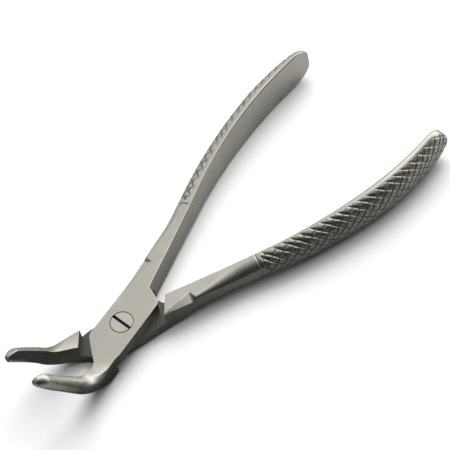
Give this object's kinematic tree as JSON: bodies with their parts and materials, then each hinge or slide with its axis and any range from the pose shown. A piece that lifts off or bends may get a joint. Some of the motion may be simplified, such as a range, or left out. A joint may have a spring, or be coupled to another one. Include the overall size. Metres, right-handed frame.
{
  "type": "extraction forceps",
  "caption": "Dental extraction forceps for lower teeth: crossed levers on a flush slotted screw, upturned hollowed beaks and bowed cross-cut grip handles.",
  "frame": {"origin": "on the pivot screw's axis, at the joint's flat underside", "axes": "+X from the pivot towards the handles' ends, +Y towards the upper lever's handle, +Z along the pivot axis, the way the beaks rise"},
  "size_m": [0.1734, 0.0741, 0.0348],
  "materials": {
    "forged_steel": "satin, glass-bead blasted",
    "screw_steel": "satin"
  },
  "bodies": {
    "lower": {"lower_lever": "forged_steel", "pivot_screw": "screw_steel"},
    "upper": {"upper_lever": "forged_steel"}
  },
  "joints": [
    {"name": "pivot", "type": "hinge", "parent": "lower", "child": "upper", "pos_m": [0, 0, 0], "axis": [0, 0, 1], "range_deg": [-17, 95]}
  ]
}
